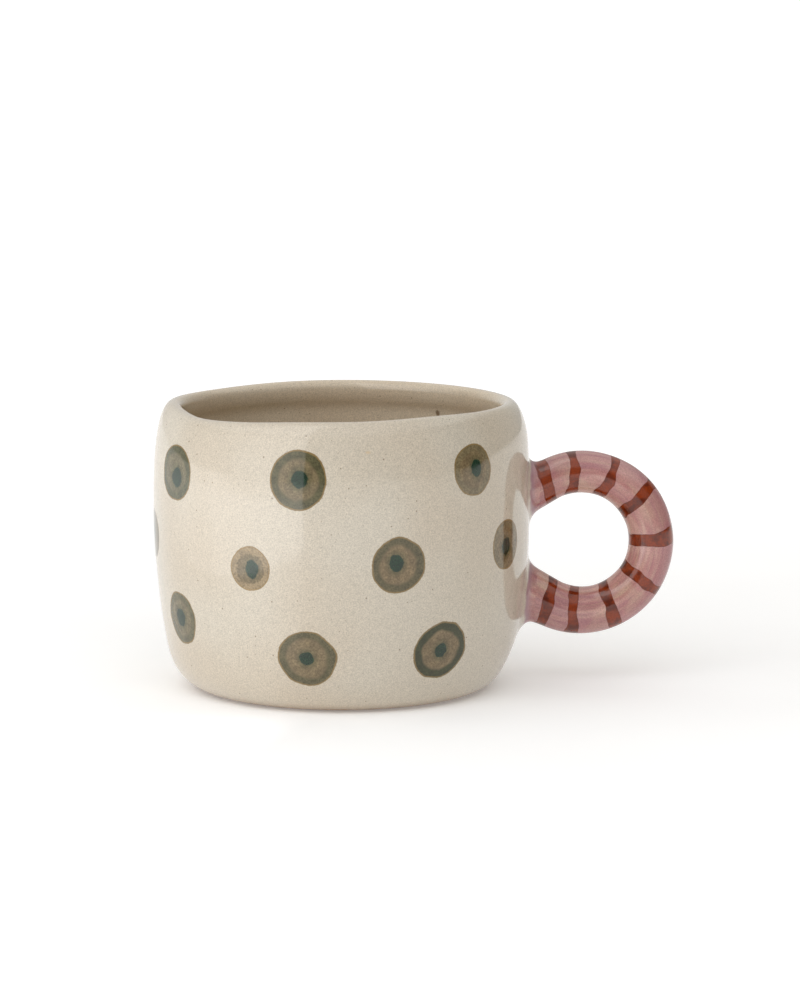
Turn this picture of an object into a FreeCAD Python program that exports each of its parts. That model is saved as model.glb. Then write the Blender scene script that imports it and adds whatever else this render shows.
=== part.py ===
"""Spotted stoneware mug: a hand-made cup with a ring handle stuck on with clay slip.

Four pieces of clay, each a solid of its own:
    cup_body          cup with a rolled lip, barrel wall, floor and foot ring
    handle            round roll of clay bent into a ring, a little thicker where it meets the wall
    upper_slip_joint  slip seam that sticks the handle's upper end to the wall
    lower_slip_joint  slip seam that sticks the handle's lower end to the wall

Frame: millimetres, +Z up, origin on the cup's axis at the plane of the foot ring, handle towards +X.
"""

import FreeCAD, Part
import math
import os

import Sketcher

# Driving dimensions in millimetres, and one angle in degrees. Each becomes a cell of the spreadsheet.
SIZES = {
    "widest_radius": 48.3,
    "widest_height": 47.0,
    "rim_height": 73.7,
    "foot_outer_radius": 33.0,
    "foot_inner_radius": 25.5,
    "recess_radius": 24.5,
    "recess_depth": 1.2,
    "corner_round": 12.0,
    "shoulder_round": 22.0,
    "lip_radius": 42.8,
    "lip_outer_round": 3.2,
    "lip_inner_round": 2.2,
    "neck_round": 6.0,
    "undercut_round": 5.0,
    "wall_thickness": 4.6,
    "floor_height": 5.5,
    "inner_corner_radius": 30.5,
    "inner_corner_round": 11.0,
    "ring_centre_x": 61.9,
    "ring_centre_z": 37.2,
    "ring_radius": 18.0,
    "ring_half_angle": 115.0,
    "roll_radius": 5.65,
    "end_radius": 6.9,
    "end_length": 11.0,
    "slip_thickness": 0.4,
    "upper_fillet": 2.8,
    "lower_fillet": 3.8,
    "seat_low": 13.0,
    "seat_high": 62.0,
}

# The wall is one arc, upright at its widest place and tangent to the corner arc below it.
WALL_ROUND = (
    "(({widest} - {corner})^2 + (sizes.widest_height - {centre})^2 - {round}^2)"
    " / (2 * ({widest} - {corner} - {round}))"
)
OUTER_WALL_ROUND = WALL_ROUND.format(
    widest="sizes.widest_radius",
    corner="sizes.foot_outer_radius",
    centre="sizes.corner_round",
    round="sizes.corner_round",
)
INNER_WALL_ROUND = WALL_ROUND.format(
    widest="(sizes.widest_radius - sizes.wall_thickness)",
    corner="sizes.inner_corner_radius",
    centre="(sizes.floor_height + sizes.inner_corner_round)",
    round="sizes.inner_corner_round",
)

EDGE_TOLERANCE = 0.05
START, END, CENTRE = 1, 2, 3
ORIGIN, UP_AXIS = (-1, 1), -2

doc = FreeCAD.newDocument("stoneware_mug")


def make_sheet():
    """The spreadsheet that drives every sub-part."""
    sheet = doc.addObject("Spreadsheet::Sheet", "sizes")
    for row, (name, value) in enumerate(SIZES.items(), start=1):
        sheet.set(f"A{row}", name)
        sheet.set(f"B{row}", str(value))
        sheet.setAlias(f"B{row}", name)
    doc.recompute()
    return sheet


def tangent_centre(first, first_gap, second, second_gap):
    """The point first_gap from one centre and second_gap from the other, left of the way between them."""
    dx, dy = second[0] - first[0], second[1] - first[1]
    apart = math.hypot(dx, dy)
    along = (first_gap**2 - second_gap**2 + apart**2) / (2 * apart)
    aside = math.sqrt(first_gap**2 - along**2)
    return (
        first[0] + (along * dx - aside * dy) / apart,
        first[1] + (along * dy + aside * dx) / apart,
    )


def wall_round(widest, corner, corner_round):
    """The same radius as WALL_ROUND, to draw the arc where the constraints will hold it."""
    reach, rise = widest - corner[0], SIZES["widest_height"] - corner[1]
    return (reach**2 + rise**2 - corner_round**2) / (2 * (reach - corner_round))


def heading(centre, point):
    return math.atan2(point[1] - centre[1], point[0] - centre[0])


class Profile:
    """A sketch drawn as a closed chain of lines and arcs, whose dimensions follow the spreadsheet."""

    def __init__(self, body, name, plane):
        self.sketch = body.newObject("Sketcher::SketchObject", name)
        support = next(f for f in body.Origin.OriginFeatures if f.Role == plane)
        self.sketch.AttachmentSupport = [(support, "")]
        self.sketch.MapMode = "FlatFace"

    def line(self, start, end):
        segment = Part.LineSegment(FreeCAD.Vector(*start, 0), FreeCAD.Vector(*end, 0))
        return self.sketch.addGeometry(segment, False)

    def arc(self, centre, radius, start, end):
        """An arc drawn anticlockwise between two headings from its centre."""
        circle = Part.Circle(FreeCAD.Vector(*centre, 0), FreeCAD.Vector(0, 0, 1), radius)
        return self.sketch.addGeometry(Part.ArcOfCircle(circle, start, end), False)

    def rule(self, kind, *where):
        self.sketch.addConstraint(Sketcher.Constraint(kind, *where))

    def meet(self, first, first_end, second, second_end):
        self.rule("Coincident", first, first_end, second, second_end)

    def flow(self, first, first_end, second, second_end):
        """Two curves that meet end to end with no crease."""
        self.rule("Tangent", first, first_end, second, second_end)

    def size(self, kind, cell, *where):
        """A dimension that follows one cell of the spreadsheet, and is named after it."""
        self.formula(kind, cell, f"sizes.{cell}", SIZES[cell], *where)

    def formula(self, kind, name, expression, value, *where):
        """A named dimension that follows an expression; value is what it starts from."""
        index = self.sketch.addConstraint(Sketcher.Constraint(kind, *where, value))
        self.sketch.renameConstraint(index, name)
        self.sketch.setExpression(f"Constraints.{name}", expression)


def outer_chain(profile):
    """The cup's outside from the foot to the crest of the lip, as four arcs. Returns the first and last."""
    s = SIZES
    corner = (s["foot_outer_radius"], s["corner_round"])
    wall_r = wall_round(s["widest_radius"], corner, s["corner_round"])
    wall = (s["widest_radius"] - wall_r, s["widest_height"])
    lip = (s["lip_radius"], s["rim_height"] - s["lip_outer_round"])
    shoulder = tangent_centre(
        lip, s["shoulder_round"] - s["lip_outer_round"], wall, wall_r - s["shoulder_round"]
    )
    turns = [
        -math.pi / 2,
        heading(wall, corner),
        heading(wall, shoulder),
        heading(shoulder, lip),
        math.pi / 2,
    ]
    a = profile.arc(corner, s["corner_round"], turns[0], turns[1])
    b = profile.arc(wall, wall_r, turns[1], turns[2])
    c = profile.arc(shoulder, s["shoulder_round"], turns[2], turns[3])
    d = profile.arc(lip, s["lip_outer_round"], turns[3], turns[4])
    for first, second in ((a, b), (b, c), (c, d)):
        profile.flow(first, END, second, START)
    profile.size("Radius", "corner_round", a)
    profile.formula("Radius", "wall_round", OUTER_WALL_ROUND, wall_r, b)
    profile.size("DistanceY", "widest_height", *ORIGIN, b, CENTRE)
    profile.size("Radius", "shoulder_round", c)
    profile.size("Radius", "lip_outer_round", d)
    profile.rule("Vertical", d, CENTRE, d, END)
    profile.size("DistanceX", "lip_radius", *ORIGIN, d, CENTRE)
    profile.size("DistanceY", "rim_height", *ORIGIN, d, END)
    return a, d


def inner_chain(profile, lip):
    """The cup's inside from the crest of the lip to the floor's edge, as five arcs. Returns the last."""
    s = SIZES
    roll = (s["lip_radius"], s["rim_height"] - s["lip_inner_round"])
    neck = (s["lip_radius"] - s["lip_inner_round"] + s["neck_round"], roll[1])
    corner = (s["inner_corner_radius"], s["floor_height"] + s["inner_corner_round"])
    widest = s["widest_radius"] - s["wall_thickness"]
    wall_r = wall_round(widest, corner, s["inner_corner_round"])
    wall = (widest - wall_r, s["widest_height"])
    undercut = tangent_centre(
        neck, s["neck_round"] + s["undercut_round"], wall, wall_r - s["undercut_round"]
    )
    a = profile.arc(roll, s["lip_inner_round"], math.pi / 2, math.pi)
    b = profile.arc(neck, s["neck_round"], math.pi, heading(neck, undercut) % (2 * math.pi))
    c = profile.arc(undercut, s["undercut_round"], heading(wall, undercut), heading(undercut, neck))
    d = profile.arc(wall, wall_r, heading(wall, corner), heading(wall, undercut))
    e = profile.arc(corner, s["inner_corner_round"], -math.pi / 2, heading(wall, corner))
    profile.flow(lip, END, a, START)
    profile.flow(a, END, b, START)
    profile.flow(b, END, c, END)
    profile.flow(c, START, d, END)
    profile.flow(d, START, e, END)
    profile.size("Radius", "lip_inner_round", a)
    profile.rule("Horizontal", a, CENTRE, a, END)
    profile.size("Radius", "neck_round", b)
    profile.size("Radius", "undercut_round", c)
    profile.formula("Radius", "inner_wall_round", INNER_WALL_ROUND, wall_r, d)
    profile.formula("DistanceY", "inner_widest_height", "sizes.widest_height", wall[1], *ORIGIN, d, CENTRE)
    profile.size("Radius", "inner_corner_round", e)
    profile.size("DistanceX", "inner_corner_radius", *ORIGIN, e, CENTRE)
    profile.size("DistanceY", "floor_height", *ORIGIN, e, START)
    return e


def spin(body, profile, name):
    """Turns a profile drawn in the YZ plane once round the cup's axis, so that its seam is at the back."""
    turn = body.newObject("PartDesign::Revolution", name)
    turn.Profile = profile.sketch
    turn.ReferenceAxis = (profile.sketch, ["V_Axis"])
    turn.Angle = 360.0
    profile.sketch.Visibility = False
    body.Tip = turn
    doc.recompute()
    return turn


def make_cup():
    """The cup: foot ring, rounded corner, barrel wall, rolled lip with an undercut neck, and floor."""
    s = SIZES
    body = doc.addObject("PartDesign::Body", "CupBody")
    profile = Profile(body, "CupProfile", "YZ_Plane")
    foot = profile.line((s["foot_inner_radius"], 0), (s["foot_outer_radius"], 0))
    corner, lip = outer_chain(profile)
    floor_edge = inner_chain(profile, lip)
    floor = profile.line((s["inner_corner_radius"], s["floor_height"]), (0, s["floor_height"]))
    axis = profile.line((0, s["floor_height"]), (0, s["recess_depth"]))
    recess = profile.line((0, s["recess_depth"]), (s["recess_radius"], s["recess_depth"]))
    slope = profile.line((s["recess_radius"], s["recess_depth"]), (s["foot_inner_radius"], 0))
    profile.flow(foot, END, corner, START)
    profile.rule("Horizontal", foot)
    profile.rule("PointOnObject", foot, END, ORIGIN[0])
    profile.size("DistanceX", "foot_inner_radius", *ORIGIN, foot, START)
    profile.size("DistanceX", "foot_outer_radius", *ORIGIN, foot, END)
    profile.meet(floor_edge, START, floor, START)
    profile.rule("Vertical", floor_edge, CENTRE, floor_edge, START)
    profile.rule("Horizontal", floor)
    profile.rule("PointOnObject", floor, END, UP_AXIS)
    profile.meet(floor, END, axis, START)
    profile.rule("PointOnObject", axis, END, UP_AXIS)
    profile.meet(axis, END, recess, START)
    profile.rule("Horizontal", recess)
    profile.size("DistanceY", "recess_depth", *ORIGIN, recess, END)
    profile.size("DistanceX", "recess_radius", *ORIGIN, recess, END)
    profile.meet(recess, END, slope, START)
    profile.meet(slope, END, foot, START)
    spin(body, profile, "CupTurn")
    body.Label = "cup_body"
    return body


def make_filled_cup():
    """The cup's outside as one filled solid, which the slip seams and fillets are shaped against."""
    s = SIZES
    body = doc.addObject("PartDesign::Body", "FilledCup")
    profile = Profile(body, "FilledProfile", "YZ_Plane")
    base = profile.line((0, 0), (s["foot_outer_radius"], 0))
    corner, lip = outer_chain(profile)
    top = profile.line((s["lip_radius"], s["rim_height"]), (0, s["rim_height"]))
    axis = profile.line((0, s["rim_height"]), (0, 0))
    profile.meet(base, START, *ORIGIN)
    profile.rule("Horizontal", base)
    profile.size("DistanceX", "foot_outer_radius", *ORIGIN, base, END)
    profile.flow(base, END, corner, START)
    profile.meet(lip, END, top, START)
    profile.rule("Horizontal", top)
    profile.rule("PointOnObject", top, END, UP_AXIS)
    profile.meet(top, END, axis, START)
    profile.meet(axis, END, base, START)
    spin(body, profile, "FilledTurn")
    return body


def make_seat():
    """The wall's outside grown by the thickness of the slip, over the height that holds the joints."""
    s = SIZES
    body = doc.addObject("PartDesign::Body", "Seat")
    profile = Profile(body, "SeatProfile", "YZ_Plane")
    wall_r = wall_round(s["widest_radius"], (s["foot_outer_radius"], s["corner_round"]), s["corner_round"])
    centre = (s["widest_radius"] - wall_r, s["widest_height"])
    grown = wall_r + s["slip_thickness"]
    low, high = (math.asin((s[z] - centre[1]) / grown) for z in ("seat_low", "seat_high"))
    reach = [centre[0] + grown * math.cos(a) for a in (low, high)]
    base = profile.line((0, s["seat_low"]), (reach[0], s["seat_low"]))
    wall = profile.arc(centre, grown, low, high)
    top = profile.line((reach[1], s["seat_high"]), (0, s["seat_high"]))
    axis = profile.line((0, s["seat_high"]), (0, s["seat_low"]))
    profile.meet(base, END, wall, START)
    profile.meet(wall, END, top, START)
    profile.meet(top, END, axis, START)
    profile.meet(axis, END, base, START)
    profile.rule("Horizontal", base)
    profile.rule("Horizontal", top)
    profile.rule("Vertical", axis)
    profile.rule("PointOnObject", axis, END, UP_AXIS)
    profile.size("DistanceY", "seat_low", *ORIGIN, axis, END)
    profile.size("DistanceY", "seat_high", *ORIGIN, axis, START)
    profile.size("DistanceY", "widest_height", *ORIGIN, wall, CENTRE)
    profile.formula("Radius", "grown_round", f"{OUTER_WALL_ROUND} + sizes.slip_thickness", grown, wall)
    inset = f"{OUTER_WALL_ROUND} - sizes.widest_radius"
    profile.formula("DistanceX", "inset", inset, wall_r - s["widest_radius"], wall, CENTRE, *ORIGIN)
    spin(body, profile, "SeatTurn")
    return body


def make_ring():
    """The ring of the handle: a round roll turned about the ring's own axis, open towards the cup."""
    s = SIZES
    body = doc.addObject("PartDesign::Body", "Ring")
    profile = Profile(body, "RollSection", "XY_Plane")
    profile.sketch.setExpression("AttachmentOffset.Base.z", "sizes.ring_centre_z")
    centre = FreeCAD.Vector(s["ring_centre_x"] + s["ring_radius"], 0, 0)
    circle = Part.Circle(centre, FreeCAD.Vector(0, 0, 1), s["roll_radius"])
    section = profile.sketch.addGeometry(circle, False)
    hub = FreeCAD.Vector(s["ring_centre_x"], 0, 0)
    pivot = profile.sketch.addGeometry(
        Part.LineSegment(hub, hub + FreeCAD.Vector(0, s["ring_radius"], 0)), True
    )
    profile.size("Radius", "roll_radius", section)
    profile.rule("PointOnObject", section, CENTRE, ORIGIN[0])
    profile.size("DistanceX", "ring_radius", pivot, START, section, CENTRE)
    profile.rule("PointOnObject", pivot, START, ORIGIN[0])
    profile.size("DistanceX", "ring_centre_x", *ORIGIN, pivot, START)
    profile.rule("Vertical", pivot)
    radius = s["ring_radius"]
    profile.formula("DistanceY", "pivot_length", "sizes.ring_radius", radius, pivot, START, pivot, END)
    turn = body.newObject("PartDesign::Revolution", "RingTurn")
    turn.Profile = profile.sketch
    turn.ReferenceAxis = (profile.sketch, ["Axis0"])
    turn.Midplane = True
    turn.setExpression("Angle", "2 * sizes.ring_half_angle")
    body.Tip = turn
    doc.recompute()
    return body


def make_end(name, side):
    """One straight end of the roll, widening towards the cup. side is +1 for the upper, -1 for the lower."""
    end = doc.addObject("Part::Cone", name)
    end.setExpression("Radius1", "sizes.roll_radius")
    end.setExpression("Radius2", "sizes.end_radius")
    end.setExpression("Height", "sizes.end_length")
    end.setExpression(
        "Placement.Base.x", "sizes.ring_centre_x + sizes.ring_radius * cos(sizes.ring_half_angle * 1deg)"
    )
    end.setExpression(
        "Placement.Base.z",
        f"sizes.ring_centre_z + {side} * sizes.ring_radius * sin(sizes.ring_half_angle * 1deg)",
    )
    turn = "-sizes.ring_half_angle" if side > 0 else "sizes.ring_half_angle - 180"
    end.setExpression("Placement.Rotation.Angle", f"({turn}) * 1deg")
    end.Placement.Rotation.Axis = FreeCAD.Vector(0, 1, 0)
    return end


def combine(kind, name, *shapes):
    """A boolean of two or more objects."""
    feature = doc.addObject(kind, name)
    if kind == "Part::MultiFuse":
        feature.Shapes = list(shapes)
    else:
        feature.Base, feature.Tool = shapes
    doc.recompute()
    return feature


def seam_edges(joined, wall, roll, side):
    """The names of the edges where the roll meets the wall, on the upper or the lower end of the handle."""
    names = []
    for number, edge in enumerate(joined.Shape.Edges, start=1):
        middle = edge.valueAt((edge.FirstParameter + edge.LastParameter) / 2)
        point = Part.Vertex(middle)
        touching = all(skin.Shape.Shells[0].distToShape(point)[0] < EDGE_TOLERANCE for skin in (wall, roll))
        if touching and side * (middle.z - SIZES["ring_centre_z"]) > 0:
            names.append(f"Edge{number}")
    return names


def make_seams(wall, roll):
    """Wall and roll as one solid, with the slip smoothed into a fillet round each end of the roll."""
    joined = combine("Part::MultiFuse", "Joined", wall, roll)
    body = doc.addObject("PartDesign::Body", "Seams")
    body.BaseFeature = joined
    doc.recompute()
    for name, side in (("upper_fillet", 1), ("lower_fillet", -1)):
        base = body.Tip
        fillet = body.newObject("PartDesign::Fillet", name)
        fillet.Base = (base, seam_edges(base, wall, roll, side))
        fillet.setExpression("Radius", f"sizes.{name}")
        body.Tip = fillet
        doc.recompute()
    return body


def make_half(name, side):
    """A box that holds everything above (side +1) or below (side -1) the middle of the handle."""
    half = doc.addObject("Part::Box", name)
    half.setExpression("Length", "2 * sizes.widest_radius")
    half.setExpression("Width", "2 * sizes.widest_radius")
    half.setExpression("Height", "sizes.widest_radius")
    half.setExpression("Placement.Base.y", "-sizes.widest_radius")
    drop = "" if side > 0 else " - sizes.widest_radius"
    half.setExpression("Placement.Base.z", "sizes.ring_centre_z" + drop)
    doc.recompute()
    return half


def make_handle_and_joints():
    """The handle stops short of the wall by the thickness of the slip, which fills the rest."""
    wall = make_filled_cup()
    ends = [make_end("UpperEnd", 1), make_end("LowerEnd", -1)]
    roll = combine("Part::MultiFuse", "Roll", make_ring(), *ends)
    handle = combine("Part::Cut", "Handle", roll, make_seat())
    handle.Label = "handle"
    outside = combine("Part::Cut", "OutsideWall", make_seams(wall, roll), wall)
    slip = combine("Part::Cut", "Slip", outside, handle)
    upper = combine("Part::Common", "UpperSlip", slip, make_half("UpperHalf", 1))
    upper.Label = "upper_slip_joint"
    lower = combine("Part::Common", "LowerSlip", slip, make_half("LowerHalf", -1))
    lower.Label = "lower_slip_joint"
    return [handle, upper, lower]


def check_and_export(pieces):
    """Stops on any broken feature, then writes each piece under its own label."""
    doc.recompute()
    broken = [item.Name for item in doc.Objects if {"Invalid", "Error"} & set(item.State)]
    if broken:
        raise RuntimeError(f"broken features: {broken}")
    os.makedirs("parts", exist_ok=True)
    for piece in pieces:
        shape = piece.Shape
        if shape.isNull() or not shape.isValid() or len(shape.Solids) != 1:
            raise RuntimeError(f"{piece.Label} is not one valid solid")
        shape.exportStep(os.path.join("parts", f"{piece.Label}.step"))


make_sheet()
check_and_export([make_cup(), *make_handle_and_joints()])
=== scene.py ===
"""Looks of the spotted stoneware mug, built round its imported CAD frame.

Four closed meshes stand for the four pieces of clay: the cup, the handle and the two slip seams that
hold it. Lengths in this script are millimetres until MM turns them into Blender's metres. Azimuth is
measured round the cup's axis in degrees: 0 at the handle, -90 at the front, 180 on the left.
"""

import math

import bpy
import numpy as np
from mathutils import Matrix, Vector, noise


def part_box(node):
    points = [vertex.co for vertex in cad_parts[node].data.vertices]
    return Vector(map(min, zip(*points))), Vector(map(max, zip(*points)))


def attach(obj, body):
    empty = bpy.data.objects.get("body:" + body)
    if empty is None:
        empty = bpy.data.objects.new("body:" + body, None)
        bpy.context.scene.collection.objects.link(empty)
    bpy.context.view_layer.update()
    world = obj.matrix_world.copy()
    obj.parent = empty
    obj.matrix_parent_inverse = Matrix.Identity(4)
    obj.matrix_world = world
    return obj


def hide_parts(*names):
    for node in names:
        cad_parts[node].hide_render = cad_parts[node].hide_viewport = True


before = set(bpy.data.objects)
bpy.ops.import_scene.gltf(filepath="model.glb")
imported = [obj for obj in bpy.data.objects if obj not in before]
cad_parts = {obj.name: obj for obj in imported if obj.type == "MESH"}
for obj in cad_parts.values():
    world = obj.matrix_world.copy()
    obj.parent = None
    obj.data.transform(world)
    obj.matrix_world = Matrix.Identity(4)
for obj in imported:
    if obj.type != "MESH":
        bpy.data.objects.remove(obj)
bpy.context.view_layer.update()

MM = 0.001
cup_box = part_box("cup_body")
handle_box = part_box("handle")

# The cup's section: radius and height of the places that shape it.
WIDEST_RADIUS = cup_box[1].x / MM
RIM_HEIGHT = cup_box[1].z / MM
WIDEST_HEIGHT = 47.0
FOOT_INSIDE = 25.5
FOOT_OUTSIDE = 33.0
FOOT_EDGE = 0.9
RECESS = 1.2
LIP_RADIUS = 42.8
LIP_INNER_ROUND = 2.2
NECK_ROUND = 6.0
UNDERCUT_ROUND = 5.0
WALL = 4.6
FLOOR_HEIGHT = 5.5
FLOOR_RADIUS = 30.5
LOWER_SWELL = (2.3, 3.0)
UPPER_SWELL = (2.5, 2.5)
WALL_BOW = 220.0
MIDDLE_HOLE = 2.0
COLUMNS = 360
ARC_POINTS = 60
CURVE_POINTS = 600

# The handle's ring, from the box of its CAD solid.
RING_REACH = (handle_box[1].z - handle_box[0].z) / 2 / MM
RING_X = handle_box[1].x / MM - RING_REACH
RING_Z = (handle_box[1].z + handle_box[0].z) / 2 / MM
ROLL = 5.75
RING_RADIUS = RING_REACH - ROLL + 0.15
BEND = math.radians(115)
RING_LENGTH = 2 * BEND * RING_RADIUS
ROLL_THINNING = 0.0036
END_SWELL = 0.1
ROLL_WAVE = 0.12
WAVES_ALONG = 0.1
WAVES_AROUND = 0.7
LONGEST_END = 16.0
HALVINGS = 24
AROUND = 72
TURNS = [2 * math.pi * i / AROUND for i in range(AROUND)]
END_STEPS = 12
RING_STEPS = round(RING_LENGTH / 0.8)
GAP_BULGE = 9.0

# The slip seams: how deep they bed into roll and wall, and the lengths (inside, outside the ring) that they
# cover on the roll and on the wall.
BED = 0.12
SEAM_STEPS = 16
SEAM_SINK = 0.02
SEAM_FULLNESS = 0.62
TANGENT_STEP = 0.2
UPPER_LEGS = ((3.0, 3.0), (3.0, 3.0))
LOWER_LEGS = ((3.0, 3.5), (3.2, 6.0))

# Slow turns out of round: how far, how many times round the cup, and where they start in degrees.
OUT_OF_ROUND = ((0.15, 2, 40), (0.12, 3, -25))

# Waves in the hand-cut rim: azimuth, rise and spread round the cup in degrees.
RIM_WAVES = (
    (-146, -1.3, 17),
    (-124, -0.7, 16),
    (-56, 0.6, 20),
    (-20, 0.3, 22),
    (80, 0.1, 40),
    (140, -0.6, 26),
)

# Pushes left in the wall by the hand: azimuth, height, push outwards, spread in degrees, spread in height.
PUSHES = (
    (180, 7, 0.5, 40, 6),
    (180, 24, -0.3, 35, 14),
    (0, 66, 0.3, 30, 5),
    (0, 6, -0.5, 45, 6),
    (-100, 40, 0.25, 20, 30),
    (-84, 36, -0.20, 14, 34),
    (-55, 55, 0.20, 20, 18),
    (60, 30, 0.25, 25, 22),
    (120, 50, -0.25, 22, 20),
)

# Where the unevenness fades out: towards the foot, towards the cup's middle, and from the rim downwards.
FOOT_FADE = 4.0
MIDDLE_FADE = 20.0
WAVES_START = 40.0
SHARP_EDGE = math.radians(50)


def heading(centre, point):
    """The direction from one point of the section to another, in degrees."""
    return math.degrees(math.atan2(point[1] - centre[1], point[0] - centre[0]))


def tangent_centre(first, first_gap, second, second_gap):
    """The point first_gap from one centre and second_gap from the other, left of the way between them."""
    dx, dy = second[0] - first[0], second[1] - first[1]
    apart = math.hypot(dx, dy)
    along = (first_gap**2 - second_gap**2 + apart**2) / (2 * apart)
    aside = math.sqrt(first_gap**2 - along**2)
    return first[0] + (along * dx - aside * dy) / apart, first[1] + (along * dy + aside * dx) / apart


def evenly(points, spacing):
    """The same line with its points an even distance apart."""
    points = np.array(points, float)
    run = np.concatenate([[0], np.cumsum(np.hypot(*np.diff(points, axis=0).T))])
    marks = np.linspace(0, run[-1], max(2, round(run[-1] / spacing) + 1))
    return np.column_stack([np.interp(marks, run, points[:, i]) for i in (0, 1)])


def arc(centre, radius, start, end, spacing):
    """Points along an arc from one heading to another, in degrees."""
    turn = np.radians(np.linspace(start, end, ARC_POINTS))
    points = np.column_stack([centre[0] + radius * np.cos(turn), centre[1] + radius * np.sin(turn)])
    return evenly(points, spacing)


def swell_curve(flat, upright, powers, spacing):
    """A full, rounded quarter turn: level where it starts, upright where it ends."""
    turn = np.linspace(0, math.pi / 2, CURVE_POINTS)
    across = np.sin(turn) ** (2 / powers[1])
    up = 1 - np.cos(turn) ** (2 / powers[0])
    radius = flat[0] + (upright[0] - flat[0]) * across
    height = flat[1] + (upright[1] - flat[1]) * up
    return evenly(np.column_stack([radius, height]), spacing)


def cup_section():
    """Radius and height along the section, from under the base, up the outside, over the lip and down to the
    floor, and the length along the outside at each point (negative where the point isn't outside)."""
    widest = (WIDEST_RADIUS, WIDEST_HEIGHT)
    lip = (LIP_RADIUS, RIM_HEIGHT - LIP_INNER_ROUND)
    neck = (LIP_RADIUS - LIP_INNER_ROUND + NECK_ROUND, lip[1])
    inside = (WIDEST_RADIUS - WALL, WIDEST_HEIGHT)
    wall = (inside[0] - WALL_BOW, WIDEST_HEIGHT)
    undercut = tangent_centre(neck, NECK_ROUND + UNDERCUT_ROUND, wall, WALL_BOW - UNDERCUT_ROUND)
    edge = (FOOT_INSIDE + FOOT_EDGE, FOOT_EDGE)
    under = [
        evenly([(MIDDLE_HOLE, RECESS), (FOOT_INSIDE, RECESS)], spacing=2.0),
        arc(edge, FOOT_EDGE, 160, 270, spacing=0.35),
        evenly([(edge[0], 0), (FOOT_OUTSIDE, 0)], spacing=0.9),
    ]
    outside = [
        swell_curve((FOOT_OUTSIDE, 0), widest, LOWER_SWELL, spacing=0.7),
        swell_curve((LIP_RADIUS, RIM_HEIGHT), widest, UPPER_SWELL, spacing=0.6)[::-1],
    ]
    inner = [
        arc(lip, LIP_INNER_ROUND, 90, 180, spacing=0.3),
        arc(neck, NECK_ROUND, 180, 360 + heading(neck, undercut), spacing=0.45),
        arc(undercut, UNDERCUT_ROUND, heading(undercut, neck), heading(wall, undercut), spacing=0.45),
        arc(wall, WALL_BOW, heading(wall, undercut), 0, spacing=1.0),
        swell_curve((FLOOR_RADIUS, FLOOR_HEIGHT), inside, LOWER_SWELL, spacing=1.0)[::-1],
        evenly([(FLOOR_RADIUS, FLOOR_HEIGHT), (MIDDLE_HOLE, FLOOR_HEIGHT)], spacing=2.0),
    ]
    stretches = under + outside + inner
    points = np.concatenate([stretches[0]] + [stretch[1:] for stretch in stretches[1:]])
    first = sum(len(stretch) - 1 for stretch in under)
    count = sum(len(stretch) - 1 for stretch in outside) + 1
    run = np.full(len(points), -1.0)
    outer = points[first : first + count]
    run[first : first + count] = np.concatenate([[0], np.cumsum(np.hypot(*np.diff(outer, axis=0).T))])
    return points, run


SECTION, OUTSIDE_RUN = cup_section()
OUTER = SECTION[OUTSIDE_RUN >= 0]
OUTER_RUN = OUTSIDE_RUN[OUTSIDE_RUN >= 0]


def turned(azimuth, from_azimuth):
    """The signed turn in degrees from one azimuth to another, at most half a turn."""
    return (azimuth - from_azimuth + 180) % 360 - 180


def hump(offset, spread):
    """A bell curve, 1 at offset 0."""
    return np.exp(-((offset / spread) ** 2))


def push(azimuth, height):
    """How far the hand-made wall stands out from the turned one."""
    total = sum(far * np.cos(np.radians(times * azimuth + start)) for far, times, start in OUT_OF_ROUND)
    for at, level, out, spread, rise in PUSHES:
        total = total + out * hump(turned(azimuth, at), spread) * hump(height - level, rise)
    return total * np.clip(height / FOOT_FADE, 0, 1)


def lift(azimuth, height):
    """How far the rim rises or dips, fading out down the wall."""
    total = sum(rise * hump(turned(azimuth, at), spread) for at, rise, spread in RIM_WAVES)
    share = np.clip((height - WAVES_START) / (RIM_HEIGHT - WAVES_START), 0, 1)
    return total * share * share


def clay(azimuth, radius, height):
    """A point of the hand-made cup, in millimetres, from where it lies on the turned one."""
    turn = np.radians(azimuth)
    radius = radius + push(azimuth, height) * np.clip(radius / MIDDLE_FADE, 0, 1)
    height = height + lift(azimuth, height)
    return np.stack([radius * np.cos(turn), radius * np.sin(turn), height], axis=-1)


def wall_radius(azimuth, height):
    """The outside radius of the hand-made wall at a height."""
    return np.interp(height, OUTER[:, 1], OUTER[:, 0]) + push(azimuth, height)


def wall_point(azimuth, height, sink):
    """A point just under the outside of the hand-made wall, by as much as sink."""
    radius = wall_radius(azimuth, height) - sink
    turn = math.radians(azimuth)
    return Vector((radius * math.cos(turn), radius * math.sin(turn), height))


def make_piece(name, points, faces, node, material):
    """A mesh object from points in millimetres, riding on the mug in place of its CAD node."""
    mesh = bpy.data.meshes.new(name)
    mesh.from_pydata([tuple(float(v) * MM for v in p) for p in points], [], faces)
    mesh.validate()
    mesh.polygons.foreach_set("use_smooth", [True] * len(mesh.polygons))
    mesh.set_sharp_from_angle(angle=SHARP_EDGE)
    piece = bpy.data.objects.new(name, mesh)
    bpy.context.scene.collection.objects.link(piece)
    mesh.materials.append(material)
    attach(piece, "root")
    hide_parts(node)
    return piece


def ring_faces(rows, columns, start=0):
    """Quads between the rows of a closed tube, each row a ring of columns points."""
    faces = []
    for row in range(rows - 1):
        low, high = start + row * columns, start + (row + 1) * columns
        for column in range(columns):
            after = (column + 1) % columns
            faces.append((low + column, low + after, high + after, high + column))
    return faces


def fan(hub, ring, forward):
    """Triangles that close a ring of points from a point in its middle."""
    pairs = [(ring[k], ring[(k + 1) % len(ring)]) for k in range(len(ring))]
    return [(hub, *(pair if forward else pair[::-1])) for pair in pairs]


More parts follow.
